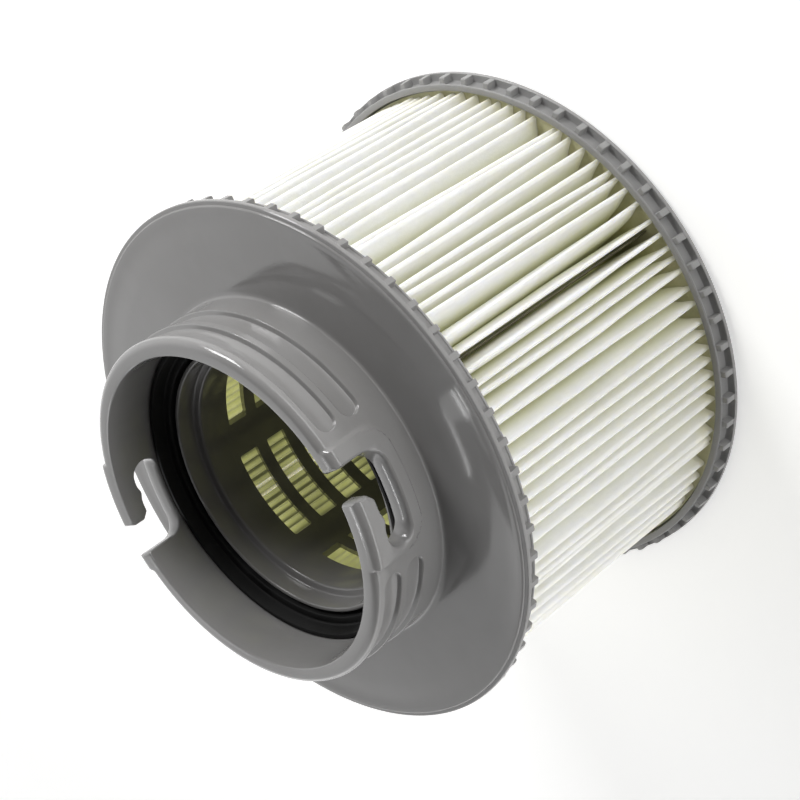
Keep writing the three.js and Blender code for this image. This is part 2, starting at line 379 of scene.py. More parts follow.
def closed_end_cap():
    gate = [(0, 0.16), (0.35, 0.16), (0.62, 0.34), (1.5, 0.34), (GATE_R - 0.25, 0.1), (GATE_R, 0.0)]
    crease = CAP_R * 0.81
    slope = 0.22
    face = gate + [
        (4.5, 0.0), (VENT_R + 4, 0.0), (22, 0.0), (32, 0.0), (crease - 1.2, 0.0), (crease, 0.03),
        (crease + 1.2, 0.08), (47, slope * 0.8), (CAP_R - 2.2, slope),
    ]
    face += [(r, z + 0.06) for r, z in edge_steps()]
    cap = cap_plate("closed_end", face)
    vents = [
        vent_cutter((k + 0.5) * 360 / len(VENT_SENSE), sense) for k, sense in enumerate(VENT_SENSE)
    ]
    combine(cap, joined("vents", vents), "DIFFERENCE")
    return cap


# ---------------------------------------------------------------- neck end cap
def wall_cutter(name, outline, stations, strip_cap=False):
    """A closed cutter through the neck wall. outline holds pairs of mm along the wall and height;
    stations are pairs of radius and how far the outline grows there."""
    loop = np.array(outline)
    along = np.roll(loop, -1, axis=0) - np.roll(loop, 1, axis=0)
    normal = np.stack([along[:, 1], -along[:, 0]], axis=1)
    normal /= np.linalg.norm(normal, axis=1)[:, None]
    area = np.sum(loop[:, 0] * np.roll(loop[:, 1], -1) - np.roll(loop[:, 0], -1) * loop[:, 1])
    if area < 0:
        normal = -normal
    points = []
    for radius, grow in stations:
        moved = loop + normal * grow
        turn = np.radians(moved[:, 0] * DEGREES_PER_MM)
        points.append(np.stack([radius * np.cos(turn), radius * np.sin(turn), moved[:, 1]], axis=1))
    count = len(loop)
    faces = []
    for level in range(len(stations) - 1):
        for k in range(count):
            a, b = level * count + k, level * count + (k + 1) % count
            faces.append([a, b, b + count, a + count])
    for base in (0, (len(stations) - 1) * count):
        if strip_cap:
            for k in range(count // 2):
                a, b, c, d = k, k + 1, count - 1 - k, (count - k) % count
                faces.append([base + i for i in dict.fromkeys((a, b, c, d))])
        else:
            faces.append(list(range(base, base + count)))
    return weld(raw_object(name, np.concatenate(points), faces))


def slot_outline():
    """The bayonet slot's outline: mm along the wall from the entry's centre, and height above the flange."""
    per_degree = 1 / DEGREES_PER_MM
    right = SLOT_HALF * per_degree
    tip = -SLOT_HALF * per_degree
    end_r = (SLOT_ROOF - SLOT_FLOOR) / 2
    end_x = -SLOT_END * per_degree + end_r
    corner = 3.6
    flare = 0.8
    top = NECK_H + 1.5
    points = [(right + flare, top)]
    points += arc(right + flare, NECK_H + 0.05 - flare, flare, 90, 180, 4)
    points += [(right, h) for h in (15.5, 14.2, 12.9)]
    points += arc(right - corner, SLOT_FLOOR + corner, corner, 0, -90, 8)
    points += [(x, SLOT_FLOOR) for x in np.linspace(right - corner - 0.8, end_x + 0.6, 12)]
    points += arc(end_x, SLOT_FLOOR + end_r, end_r, 270, 90, 14)
    for x in np.linspace(end_x + 0.5, tip - 2.1, 18):
        bump = math.exp(-(((x + 14 * per_degree) / 1.1) ** 2))
        points.append((x, SLOT_ROOF - 0.5 * bump))
    points += arc(tip - 1.5, SLOT_ROOF + 0.5, 0.5, 270, 315, 2)
    points += arc(tip - 0.5, SLOT_ROOF + 1.5, 0.5, 315, 360, 2)
    points += arc(tip - flare, NECK_H + 0.05 - flare, flare, 0, 90, 4)
    points.append((tip - flare, top))
    return points


def groove_outline(from_degrees, to_degrees, low, high):
    """A long slot with round ends: the lower side first, then the same points back along the upper side."""
    middle, half = (low + high) / 2, (high - low) / 2
    start = from_degrees / DEGREES_PER_MM + half
    end = to_degrees / DEGREES_PER_MM - half
    skip = 0.12                # leaves out the very ends, so that the two sides don't share a point
    falling = np.linspace(skip, math.pi / 2, 7)
    rising = np.linspace(0, math.pi / 2 - skip, 7)
    left = [(start - half * math.cos(t), middle - half * math.sin(t)) for t in falling]
    run = [(x, low) for x in np.linspace(start, end, 150)[1:-1]]
    right = [(end + half * math.sin(t), middle - half * math.cos(t)) for t in rising]
    lower = left + run + right
    return lower + [(x, 2 * middle - z) for x, z in reversed(lower)]


def neck_profile():
    fillet = 0.6
    rim_round = 1.5
    foot = [(NECK_IN, -0.8), (NECK_OUT + fillet, -0.8)]
    root = [(r, z - 0.02) for r, z in arc(NECK_OUT + fillet, fillet, fillet, 270, 180, 7)]
    levels = (3.0, 3.6, 4.0, 4.4, 4.7, 5.0, 5.3, 5.7, 6.3, 7.5, 9.5, 11.5, 13.5, 15.0)
    wall = [(NECK_OUT, h) for h in levels]
    outer_rim = arc(NECK_OUT - rim_round, NECK_H - rim_round, rim_round, 0, 90, 7)
    inner_rim = arc(NECK_IN + 0.35, NECK_H - 0.35, 0.35, 90, 180, 3)
    bore = [(NECK_IN, h) for h in (15, 12, 9, 6, 3, 1)]
    return foot + root + wall + outer_rim + inner_rim + bore


def neck_shape(radius, height, degrees, row):
    """Thickens the wall into a pad with soft edges round each slot."""
    lift = 0.0
    corner = 5.0
    centre = (PAD_FROM + PAD_TO) / 2 / DEGREES_PER_MM
    half = (PAD_TO - PAD_FROM) / 2 / DEGREES_PER_MM
    for entry in ENTRIES:
        along = (degrees - entry + 180) % 360 - 180
        x = along / DEGREES_PER_MM
        out_x = np.abs(x - centre) - (half - corner)
        out_z = (PAD_FLOOR + corner) - height
        outside = np.hypot(np.maximum(out_x, 0), np.maximum(out_z, 0))
        inside = np.minimum(np.maximum(out_x, out_z), 0)
        lift = np.maximum(lift, smoothstep(0.45, -0.45, outside + inside - corner))
    outer = smoothstep(NECK_IN + 1.0, NECK_IN + 1.6, radius)
    return radius + lift * outer * (PAD_OUT - NECK_OUT), height


def neck_wall():
    wall = revolved("neck_wall", neck_profile(), even_angles(600), neck_shape)
    through = (
        (NECK_IN - 2, 0.4), (NECK_IN - 0.05, 0.38), (NECK_IN + 0.12, 0.14), (NECK_IN + 0.4, 0.0),
        (PAD_OUT - 0.6, 0.0), (PAD_OUT - 0.3, 0.1), (PAD_OUT - 0.1, 0.28), (PAD_OUT + 0.03, 0.52),
        (PAD_OUT + 2, 0.6),
    )
    sunk = (
        (GROOVE_R, -0.22), (GROOVE_R + 0.06, -0.08), (GROOVE_R + 0.22, 0.0), (NECK_OUT - 0.2, 0.05),
        (NECK_OUT - 0.08, 0.1), (NECK_OUT + 0.02, 0.22), (NECK_OUT + 2, 0.4),
    )
    cutters = []
    for entry in ENTRIES:
        turned = [wall_cutter("slot", slot_outline(), through)]
        for low, high in GROOVES:
            outline = groove_outline(PAD_TO + 4, 180 + PAD_FROM - 5, low, high)
            turned.append(wall_cutter("groove", outline, sunk, strip_cap=True))
        for cutter in turned:
            cutter.data.transform(Matrix.Rotation(math.radians(entry), 4, "Z"))
        cutters += turned
    combine(wall, joined("neck_cutters", cutters), "DIFFERENCE")
    return wall


def neck_end_cap():
    bore = COLLAR_R + 0.3
    crease = CAP_R * 0.87
    face = [
        (bore, 0.3), (bore + 0.3, 0.0), (30.0, 0.0), (36.0, 0.0), (40.0, 0.0), (crease - 1.0, 0.0),
        (crease, 0.02), (crease + 0.8, 0.06), (crease + 2.4, 0.14), (CAP_R - 2.2, 0.24),
    ]
    face += [(r, z + 0.04) for r, z in edge_steps()]
    cap = cap_plate("neck_end", face)
    cap.data.transform(Matrix.Rotation(math.pi, 4, "X"))
    combine(cap, neck_wall(), "UNION")
    cap.data.transform(Matrix.Translation((0, 0, TOP * MM)))
    return cap


# ---------------------------------------------------------------- core
def window_cutter(row, column):
    """One window: a curved block with small round corners, wider at the core's outside."""
    top = TOP - WINDOW_TOP - row * WINDOW_PITCH
    soft = 0.35
    start = WINDOW_FROM + column * 360 / WINDOW_COLUMNS
    degrees_per_mm = 180 / math.pi / CORE_OUT
    corner = np.linspace(0, math.pi / 2, 4)
    along = [start + soft * degrees_per_mm * (1 - math.cos(t)) for t in corner]
    inset = [soft * (1 - math.sin(t)) for t in corner]
    middle = list(np.linspace(along[-1], start + WINDOW_SPAN / 2, 6)[1:])
    left = list(zip(along, inset)) + [(a, 0.0) for a in middle]
    right = [(2 * start + WINDOW_SPAN - a, i) for a, i in reversed(left[:-1])]
    columns = left + right
    points, faces = [], []
    slope = WINDOW_DRAFT / (CORE_OUT - CORE_IN)
    for radius in (CORE_IN - 0.5, CORE_OUT + 0.5):
        grow = slope * (radius - CORE_IN)
        for angle, cut in columns:
            x, y = radius * math.cos(math.radians(angle)), radius * math.sin(math.radians(angle))
            points += [(x, y, top - WINDOW_H + cut - grow), (x, y, top - cut + grow)]
    count = len(columns)
    for k in range(count - 1):
        a, b = 2 * k, 2 * (k + 1)
        c, d = a + 2 * count, b + 2 * count
        faces += [[a, a + 1, b + 1, b], [c, d, d + 1, c + 1]]
        faces += [[a, b, d, c], [a + 1, c + 1, d + 1, b + 1]]
    for a in (0, 2 * (count - 1)):
        faces.append([a, a + 1, a + 1 + 2 * count, a + 2 * count])
    return weld(raw_object("window", points, faces))


def perforated_core():
    floor = CORE_LOW + 1.2
    collar_wall = 1.0
    neck_in = TOP - PLATE_T - 2.5
    profile = [(0, CORE_LOW), (10, CORE_LOW), (CORE_OUT - 0.3, CORE_LOW), (CORE_OUT, CORE_LOW + 0.3)]
    profile += [(CORE_OUT, neck_in - 1), (CORE_OUT + 0.05, neck_in), (COLLAR_R - 0.1, neck_in + 1.8)]
    profile += [(COLLAR_R, neck_in + 2.2), (COLLAR_R, TOP + 2)]
    profile += arc(COLLAR_R - 0.4, TOP + COLLAR_TOP - 0.4, 0.4, 0, 90, 4)
    profile += arc(COLLAR_R - collar_wall + 0.3, TOP + COLLAR_TOP - 0.3, 0.3, 90, 180, 4)
    lip = COLLAR_R - collar_wall
    profile += [(lip, TOP + 3), (lip, TOP + LEDGE + 0.5)]
    profile += arc(lip - 0.4, TOP + LEDGE + 0.4, 0.4, 0, -90, 3)
    profile += arc(CORE_IN + 0.5, TOP + LEDGE - 0.5, 0.5, 90, 180, 4)
    profile += [(CORE_IN, TOP - 3), (CORE_IN, TOP - 5.5), (CORE_IN - 0.1, 12), (CORE_IN - 0.1, floor + 0.8)]
    profile += arc(CORE_IN - 0.9, floor + 0.8, 0.8, 0, -90, 4)
    profile += [(12, floor), (2.0, floor), (1.6, floor + 0.35), (0, floor + 0.4)]
    core = revolved("core", profile, even_angles(288))
    places = [(row, column) for row in range(WINDOW_ROWS) for column in range(WINDOW_COLUMNS)]
    windows = [window_cutter(row, column) for row, column in places]
    combine(core, joined("windows", windows), "DIFFERENCE")
    return core


# ---------------------------------------------------------------- pleated paper
# A pleat's side from its foot to its outer fold: share of the depth, and share of the room to the
# next pleat.
PLEAT_SIDE = (
    (0.04, 0.78), (0.2, 0.76), (0.42, 0.77), (0.64, 0.77), (0.78, 0.71), (0.88, 0.54), (0.95, 0.34),
    (0.985, 0.2),
)


def crest_places(random):
    """Where each outer fold stands, in pitches from the seam: uneven, as the paper gathers and spreads."""
    steps = 1 + STEP_SPREAD * random.standard_normal(PLEATS + 1)
    steps = np.clip(steps, *STEP_LIMITS)
    places = np.cumsum(steps)
    places = (places - places[0]) / (places[-1] - places[0]) * PLEATS
    regular = np.arange(PLEATS + 1)
    drift = places - regular
    loose = drift - np.convolve(np.pad(drift, 4, mode="edge"), np.ones(9) / 9, mode="valid")
    return regular[:-1] + 0.5 + np.clip(loose[:-1], -MOST_DRIFT, MOST_DRIFT)


def wander(random, heights, amount, count):
    """A slow random sway along the height for each fold: a lean, a half wave and a faint ripple."""
    sway = amount * random.standard_normal(count) * (2 * heights[:, None] - 1)
    for wave, share in ((0.5, 0.5), (1.0, 0.22), (2.0, 0.05)):
        start = random.uniform(0, 2 * math.pi, count)
        size = share * amount * random.standard_normal(count)
        sway += size * np.sin(2 * math.pi * wave * heights[:, None] + start)
    return sway


def spread_out(crest):
    """Moves apart the folds that stand closer than FOLD_ROOM, and keeps the first and the last in place."""
    room = np.maximum(np.diff(crest, axis=1), FOLD_ROOM)
    room *= (crest[:, -1:] - crest[:, :1]) / room.sum(axis=1, keepdims=True)
    return np.concatenate([crest[:, :1], crest[:, :1] + np.cumsum(room, axis=1)], axis=1)


def pleat_line():
    """The strip's middle line: angles and radii along the zigzag for every height, and the heights.
    The pleats swell until they nearly touch, and open into pockets at some of their ends."""
    random = np.random.default_rng(SEED)
    levels = 23
    heights = np.linspace(0, 1, levels)
    pitch = (360 - SEAM_GAP) / PLEATS
    start = SEAM_ANGLE + SEAM_GAP / 2
    end = start + 360 - SEAM_GAP
    order = np.arange(PLEATS)
    from_seam = np.minimum(order, order[::-1])
    to_seam = np.where(order < PLEATS / 2, -1, 1) * SEAM_PULL * np.exp(-from_seam / 2.5)
    crest = start + pitch * crest_places(random) + to_seam + wander(random, heights, SWAY, PLEATS)
    crest = np.clip(crest, start + SEAM_CLEAR, end - SEAM_CLEAR)
    crest = spread_out(np.sort(crest, axis=1))
    reach = MEDIA_OUT - 0.3 - 0.4 * random.random(PLEATS)[None, :]
    reach = reach + 0.1 * wander(random, heights, 1.0, PLEATS)
    reach = np.minimum(reach, MEDIA_OUT - PAPER_T / 2)
    valley = start + pitch * (np.arange(PLEATS - 1) + 1) + 0.1 * random.standard_normal(PLEATS - 1)
    inmost = np.concatenate([[start + 0.25], valley, [end - 0.25]])
    middle = (inmost[:-1] + inmost[1:]) / 2
    opening = np.clip(random.normal(0.36, 0.16, PLEATS) + 0.2 * np.exp(-from_seam / 4), 0, 0.65)
    closed_end = np.clip(1 - heights / CLOSED_POCKETS, 0, 1)[:, None] * opening
    neck_opening = np.clip(random.normal(0.0, 0.18, PLEATS), 0, 0.4)
    neck_end = np.clip(1 - (1 - heights) / NECK_POCKETS, 0, 1)[:, None] * neck_opening
    pocket = closed_end + neck_end
    fullness = np.clip(random.normal(0.0, 0.07, (2, PLEATS)), -0.18, 0.08)
    fold = FOLD_HALF / MEDIA_OUT * 180 / math.pi

    def flank(side, share_of_depth, share_of_gap):
        """Angles of one side of every pleat, part of the way from its foot to its outer fold."""
        centre = middle + (crest - middle) * share_of_depth
        gap = np.diff(centre, axis=1) / 2
        if side < 0:
            gap = np.concatenate([centre[:, :1] - start, gap], axis=1)
        else:
            gap = np.concatenate([gap, end - centre[:, -1:]], axis=1)
        loose = share_of_gap + (fullness[int(side > 0)] - pocket) * share_of_depth
        radius = MEDIA_IN + (MEDIA_OUT - MEDIA_IN) * share_of_depth
        paper = (PAPER_T / 2 + PAPER_CLEAR) / radius * 180 / math.pi
        return centre + side * np.maximum(np.minimum(gap * loose, gap - paper), paper)

    rise = [flank(-1, depth, share) for depth, share in PLEAT_SIDE]
    fall = [flank(1, depth, share) for depth, share in PLEAT_SIDE[::-1]]
    climb = [MEDIA_IN + 0.3 + (reach - 0.4 - MEDIA_IN - 0.3) * depth for depth, _ in PLEAT_SIDE]
    angles, radii = [], []
    for k in range(PLEATS):
        angles += [side[:, k] for side in rise]
        radii += [radius[:, k] for radius in climb]
        for share, drop in ((-0.75, 0.14), (0.0, 0.0), (0.75, 0.14)):
            angles.append(crest[:, k] + share * fold)
            radii.append(reach[:, k] - drop)
        angles += [side[:, k] for side in fall]
        radii += [radius[:, k] for radius in climb[::-1]]
        if k < PLEATS - 1:
            angles.append(np.full(levels, valley[k]))
            radii.append(np.full(levels, MEDIA_IN))
    return np.stack(angles, axis=1), np.stack(radii, axis=1), heights


def pleated_media():
    angles, radii, heights = pleat_line()
    turn = np.radians(angles)
    line = np.stack([radii * np.cos(turn), radii * np.sin(turn)], axis=-1)
    along = np.gradient(line, axis=1)
    along /= np.linalg.norm(along, axis=-1, keepdims=True)
    across = np.stack([along[..., 1], -along[..., 0]], axis=-1)
    sink = 0.7
    low, high = MEDIA_LOW - sink, MEDIA_HIGH + sink
    z = (low + (high - low) * heights)[:, None]
    sides = []
    for side in (0.5, -0.5):
        flat = line + across * side * PAPER_T
        sides.append(np.concatenate([flat, np.broadcast_to(z[..., None], flat.shape[:2] + (1,))], axis=-1))
    levels, count = angles.shape
    index = np.arange(2 * levels * count).reshape(2, levels, count)
    faces = []

    def quads(a, b, c, d):
        faces.extend(np.stack([x.ravel() for x in (a, b, c, d)], axis=-1).tolist())

    outer, inner = index
    quads(outer[:-1, :-1], outer[:-1, 1:], outer[1:, 1:], outer[1:, :-1])
    quads(inner[:-1, 1:], inner[:-1, :-1], inner[1:, :-1], inner[1:, 1:])
    quads(outer[0, 1:], outer[0, :-1], inner[0, :-1], inner[0, 1:])
    quads(outer[-1, :-1], outer[-1, 1:], inner[-1, 1:], inner[-1, :-1])
    quads(outer[:-1, 0], outer[1:, 0], inner[1:, 0], inner[:-1, 0])
    quads(outer[1:, -1], outer[:-1, -1], inner[:-1, -1], inner[1:, -1])
    return raw_object("media", np.concatenate([s.reshape(-1, 3) for s in sides]), faces)


def media_seam_strip():
    """The two ends of the paper, pressed together and glued: a thin fin with a wavy outer edge."""
    random = np.random.default_rng(SEED + 1)
    heights = np.linspace(0, 1, 30)
    sway = wander(random, heights, 0.25, 1)[:, 0]
    edge = wander(random, heights, 0.35, 1)[:, 0]
    thick = 0.55
    shares = np.linspace(0, 1, 8)
    rings = []
    for h, s, e in zip(heights, sway, edge):
        z = MEDIA_LOW - 0.5 + (MEDIA_HIGH - MEDIA_LOW + 1.0) * h
        reach = SEAM_OUT - 0.4 + e * 0.5
        left, right = [], []
        for t in shares:
            radius = SEAM_IN + (reach - SEAM_IN) * t
            lean = s * 0.35 * t * t
            half = thick / 2 * math.sqrt(max(0.05, 1 - max(0, (t - 0.85) / 0.15) ** 2))
            left.append((radius, lean + half, z))
            right.append((radius, lean - half, z))
        rings.append(left + right[::-1])
    points = np.array(rings)
    levels, count = points.shape[:2]
    index = np.arange(levels * count).reshape(levels, count)
    after = np.roll(index, -1, axis=1)
    faces = np.stack([index[:-1], index[1:], after[1:], after[:-1]], axis=-1).reshape(-1, 4).tolist()
    faces += [list(index[0]), list(index[-1][::-1])]
    strip = weld(raw_object("seam", points.reshape(-1, 3), faces))
    strip.data.transform(Matrix.Rotation(math.radians(SEAM_ANGLE), 4, "Z"))
    return strip


# ---------------------------------------------------------------- adhesive and gasket
def adhesive_bed(seed):
    """A ring of cured adhesive, paper side up, with an uneven surface that climbs a little at its edges."""
    random = np.random.default_rng(seed)
    inner = COLLAR_R + 0.35
    depth = BED_HIGH - BED_LOW
    radii = np.linspace(inner, BED_OUT, 26)
    top = []
    for r in radii[::-1]:
        climb = 0.22 * (math.exp(-(BED_OUT - r) / 0.5) + math.exp(-(r - inner) / 0.5))
        top.append((r, depth - 0.22 + climb))
    base = [(inner, 0.1), (inner + 0.1, 0.0), (BED_OUT - 0.1, 0.0), (BED_OUT, 0.1)]
    profile = base + top
    waves = []
    for _ in range(10):
        waves.append((random.integers(5, 60), random.uniform(0, 6.28), random.uniform(0.2, 1.2)))

    def shape(radius, height, degrees, row):
        ripple = 0.0
        for count, start, skew in waves:
            ripple = ripple + np.sin(np.radians(degrees) * count + start + skew * radius)
        return radius, np.where(row >= len(base), height + 0.035 * ripple, height)

    bed = revolved("bed", profile, even_angles(300), shape)
    bed.data.transform(Matrix.Translation((0, 0, BED_LOW * MM)))
    return bed


def neck_end_adhesive():
    bed = adhesive_bed(SEED + 3)
    bed.data.transform(Matrix.Rotation(math.pi, 4, "X"))
    bed.data.transform(Matrix.Translation((0, 0, TOP * MM)))
    return bed


def neck_gasket():
    lip = 1.3
    soft = 0.28
    base = 0.3
    profile = [(GASKET_IN, base + 0.2), (GASKET_IN + 0.2, base)]
    profile += [(GASKET_OUT - 0.2, base), (GASKET_OUT, base + 0.2), (GASKET_OUT, 3.0), (GASKET_OUT, 5.5)]
    profile += arc(GASKET_OUT - soft, GASKET_TOP - soft, soft, 0, 90, 4)
    profile += arc(GASKET_OUT - lip * 0.6 + 0.05, GASKET_TOP - 0.2, 0.2, 90, 165, 3)
    profile += arc(GASKET_OUT - lip - 0.5, SEAL_H + 0.42, 0.42, 0, -90, 4)
    profile += [(30.0, SEAL_H), (29.6, SEAL_H - 0.12), (29.2, SEAL_H)]
    profile += arc(GASKET_IN + soft + 0.3, SEAL_H - soft, soft, 90, 180, 4)
    gasket = revolved("gasket", profile, even_angles(300))
    gasket.data.transform(Matrix.Translation((0, 0, TOP * MM)))
    return gasket


# ---------------------------------------------------------------- materials
class Nodes:
    """A short way to wire one material's nodes."""

    def __init__(self, name):
        self.material = bpy.data.materials.new(name)
        self.material.use_nodes = True
        self.tree = self.material.node_tree
        self.shader = self.tree.nodes["Principled BSDF"]
        self.place = self.tree.nodes.new("ShaderNodeTexCoord").outputs["Object"]

    def add(self, kind, inputs=None, **settings):
        node = self.tree.nodes.new(kind)
        for key, value in settings.items():
            setattr(node, key, value)
        for key, value in (inputs or {}).items():
            if isinstance(value, bpy.types.NodeSocket):
                self.tree.links.new(value, node.inputs[key])
            else:
                node.inputs[key].default_value = value
        return node

    def noise(self, scale, detail=3.0, rough=0.5, place=None):
        node = self.add("ShaderNodeTexNoise", {"Scale": scale, "Detail": detail, "Roughness": rough})
        self.tree.links.new(place or self.place, node.inputs["Vector"])
        return node.outputs["Fac"]

    def stretched(self, x, y, z):
        node = self.add("ShaderNodeVectorMath", {1: (x, y, z)}, operation="MULTIPLY")
        self.tree.links.new(self.place, node.inputs[0])
        return node.outputs["Vector"]

    def math(self, operation, a, b=0.0):
        return self.add("ShaderNodeMath", {0: a, 1: b}, operation=operation).outputs["Value"]

    def span(self, value, low, high, to_low, to_high):
        inputs = {"Value": value, "From Min": low, "From Max": high}
        inputs |= {"To Min": to_low, "To Max": to_high}
        return self.add("ShaderNodeMapRange", inputs, interpolation_type="SMOOTHSTEP").outputs["Result"]

    def mix(self, share, one, other):
        node = self.add("ShaderNodeMix", data_type="RGBA")
        for socket, value in ((0, share), (6, one), (7, other)):
            if isinstance(value, bpy.types.NodeSocket):
                self.tree.links.new(value, node.inputs[socket])
            else:
                node.inputs[socket].default_value = value
        return node.outputs[2]

    def bump(self, height, strength, distance, under=None):
        inputs = {"Height": height, "Strength": strength, "Distance": distance}
        if under is not None:
            inputs["Normal"] = under
        return self.add("ShaderNodeBump", inputs).outputs["Normal"]

    def axis_distance(self):
        """Distance from the part's axis and height above the floor, in metres."""
        split = self.add("ShaderNodeSeparateXYZ", {0: self.place})
        squares = [self.math("POWER", split.outputs[axis], 2.0) for axis in ("X", "Y")]
        return self.math("SQRT", self.math("ADD", *squares)), split.outputs["Z"]

    def set(self, **values):
        for key, value in values.items():
            socket = self.shader.inputs[key.replace("_", " ")]
            if isinstance(value, bpy.types.NodeSocket):
                self.tree.links.new(value, socket)
            else:
                socket.default_value = value


def grey(value, warm=0.0):
    return (value * (1 + warm), value, value * (1 - warm), 1.0)


def moulded_plastic(name, tone, warm, rough):
    """Filled grey plastic: a slow cloudiness, faint swirls, fine specks and a just-visible grain."""
    n = Nodes(name)
    cloud = n.noise(28, 4, 0.55)
    swirl = n.noise(90, 5, 0.6, n.stretched(1.0, 1.0, 3.5))
    speck = n.noise(2600, 2, 0.5)
    dark, light = grey(tone * 0.94, warm), grey(tone * 1.05, warm * 0.6)
    base = n.mix(n.span(cloud, 0.35, 0.65, 0.0, 1.0), dark, light)
    base = n.mix(n.span(swirl, 0.45, 0.75, 0.0, 0.35), base, grey(tone * 1.1, warm * 0.4))
    base = n.mix(n.span(speck, 0.68, 0.8, 0.0, 0.25), base, grey(tone * 0.72, warm))
    smudge = n.noise(55, 3, 0.5)
    wear = n.math("ADD", n.math("MULTIPLY", smudge, 0.7), n.math("MULTIPLY", speck, 0.3))
    roughness = n.span(wear, 0.3, 0.7, rough - 0.04, rough + 0.07)
    grain = n.bump(n.noise(1800, 3, 0.6), 0.05, 0.0002)
    wave = n.bump(n.noise(45, 2, 0.4), 0.06, 0.0006, grain)
    n.set(Base_Color=base, Roughness=roughness, Normal=wave, IOR=1.5)
    return n.material


def filter_paper():
    """Spun paper: cream with painted shade that turns it olive down between the folds, a painted yellower
    light on the inmost folds, fibres, fuzz and a soft glow.
    """
    n = Nodes("pleated_paper")
    depth, height = n.axis_distance()
    fibre = n.noise(1500, 4, 0.65, n.stretched(1.0, 1.0, 0.35))
    fuzz = n.noise(3800, 2, 0.6)
    blotch = n.noise(70, 3, 0.5)
    outer = n.mix(n.span(blotch, 0.3, 0.7, 0.0, 1.0), (0.74, 0.73, 0.68, 1), (0.82, 0.81, 0.77, 1))
    # Painted shade: the two colours below darken the paper to olive the deeper it lies between the folds,
    # standing for the shade and the light bounced there.
    middle = (0.64, 0.64, 0.48, 1)
    deep_shade_colour = (0.42, 0.43, 0.24, 1)
    shade_inward = n.span(depth, (MEDIA_OUT - 0.4) * MM, (MEDIA_OUT - 5) * MM, 0.0, 1.0)
    deeper_shade = n.span(depth, (MEDIA_OUT - 3) * MM, (MEDIA_OUT - 14) * MM, 0.0, 1.0)
    colour = n.mix(shade_inward, outer, middle)
    colour = n.mix(deeper_shade, colour, deep_shade_colour)
    # A patchy, darker olive-yellow tint that grows towards both ends of the paper.
    low_end = n.span(height, (MEDIA_LOW + 5) * MM, MEDIA_LOW * MM, 0.0, 0.45)
    high_end = n.span(height, (MEDIA_HIGH - 3) * MM, MEDIA_HIGH * MM, 0.0, 0.3)
    end_tint = n.math("MULTIPLY", n.math("ADD", low_end, high_end), n.span(blotch, 0.25, 0.6, 0.4, 1.0))
    colour = n.mix(end_tint, colour, (0.62, 0.60, 0.38, 1))
    colour = n.mix(n.span(fibre, 0.35, 0.7, 0.12, 0.0), colour, (0.55, 0.54, 0.44, 1))
    soft = n.bump(fuzz, 0.2, 0.00012)
    normal = n.bump(fibre, 0.22, 0.0003, soft)
    normal = n.bump(n.noise(160, 2, 0.5), 0.15, 0.0006, normal)
    roughness = n.span(fibre, 0.3, 0.7, 0.78, 0.95)
    # Painted light: the inmost folds turn a lighter yellow-green, standing for light that comes through the
    # paper.
    inmost = n.span(depth, (MEDIA_IN + 4) * MM, (MEDIA_IN + 0.8) * MM, 0.0, 1.0)
    colour = n.mix(inmost, colour, (0.62, 0.63, 0.33, 1))
    n.set(Base_Color=colour, Roughness=roughness, Normal=normal, Sheen_Weight=0.15, Sheen_Roughness=0.5)
    n.set(Subsurface_Weight=0.8, Subsurface_Radius=(1.0, 0.9, 0.55), Subsurface_Scale=0.004)
    inner = n.span(depth, INNER_GLOW_OUT * MM, INNER_GLOW_IN * MM, 0.0, 1.0)
    inner_glow = n.math("MULTIPLY", inner, n.span(blotch, 0.25, 0.75, 0.05, 0.19))
    glow_tone = n.mix(n.span(fibre, 0.3, 0.7, 0.0, 1.0), (0.74, 0.76, 0.38, 1), (0.95, 0.95, 0.6, 1))
    shallow = n.span(depth, (MEDIA_OUT - 9) * MM, (MEDIA_OUT - 2) * MM, 0.0, 1.0)
    outward = n.span(depth, PAPER_GLOW_IN * MM, (MEDIA_OUT - 1.5) * MM, 0.25, 1.0)
    through = n.math("MULTIPLY", outward, PAPER_GLOW)
    n.set(Emission_Color=n.mix(shallow, glow_tone, (0.86, 0.85, 0.76, 1)))
    n.set(Emission_Strength=n.math("ADD", inner_glow, through))
    return n.material


def cured_adhesive(name, colour, other):
    """Poured and cured adhesive: a waxy surface with small bubbles and thicker, darker pools."""
    n = Nodes(name)
    pool = n.noise(120, 4, 0.6)
    bubble = n.add("ShaderNodeTexVoronoi", {"Scale": 900.0, "Vector": n.place}).outputs["Distance"]
    base = n.mix(n.span(pool, 0.3, 0.7, 0.0, 1.0), colour, other)
    pits = n.bump(n.span(bubble, 0.0, 0.35, 0.0, 1.0), 0.3, 0.0002)
    roughness = n.span(pool, 0.3, 0.7, 0.28, 0.5)
    n.set(Base_Color=base, Roughness=roughness, Normal=n.bump(pool, 0.4, 0.0006, pits))
    n.set(Subsurface_Weight=0.15, Subsurface_Radius=(1.0, 0.8, 0.4), Subsurface_Scale=0.001)
    return n.material


def seal_rubber():
    """Black rubber with a dusty bloom and a fine moulded texture."""
    n = Nodes("gasket_rubber")
    bloom = n.noise(140, 4, 0.6)
    grain = n.noise(2400, 3, 0.6)
    base = n.mix(n.span(bloom, 0.4, 0.75, 0.0, 1.0), grey(0.004), grey(0.012))
    roughness = n.span(bloom, 0.3, 0.7, 0.55, 0.75)
    n.set(Base_Color=base, Roughness=roughness, Normal=n.bump(grain, 0.2, 0.0002))
    n.set(Specular_IOR_Level=0.2)
    return n.material


